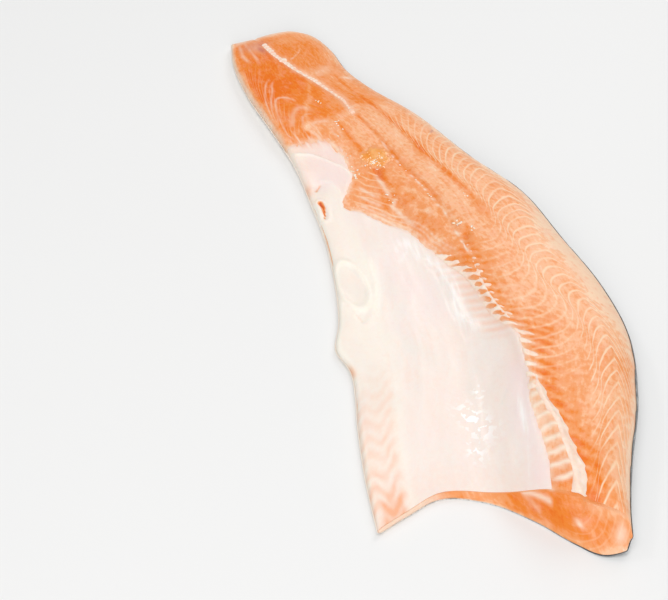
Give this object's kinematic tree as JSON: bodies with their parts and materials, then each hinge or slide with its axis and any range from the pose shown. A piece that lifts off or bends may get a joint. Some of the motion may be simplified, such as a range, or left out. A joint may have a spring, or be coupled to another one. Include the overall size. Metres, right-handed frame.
{
  "type": "raw salmon fillet",
  "caption": "Raw skin-on side of salmon, flesh up, with a thick loin, a thin belly flap lined with pale membrane and a slanting head cut.",
  "frame": {"origin": "centre of the bounding box in plan, at the height of the flat underside that the fillet rests on", "axes": "+X towards the head end, +Y towards the back edge of the fish, +Z from the skin side up to the flesh side"},
  "size_m": [0.5501, 0.2238, 0.0332],
  "materials": {
    "flesh": "wet",
    "skin": "wet",
    "membrane": "wet",
    "connective": "wet"
  },
  "bodies": {
    "root": {"salmon_fillet": "flesh"}
  },
  "joints": []
}
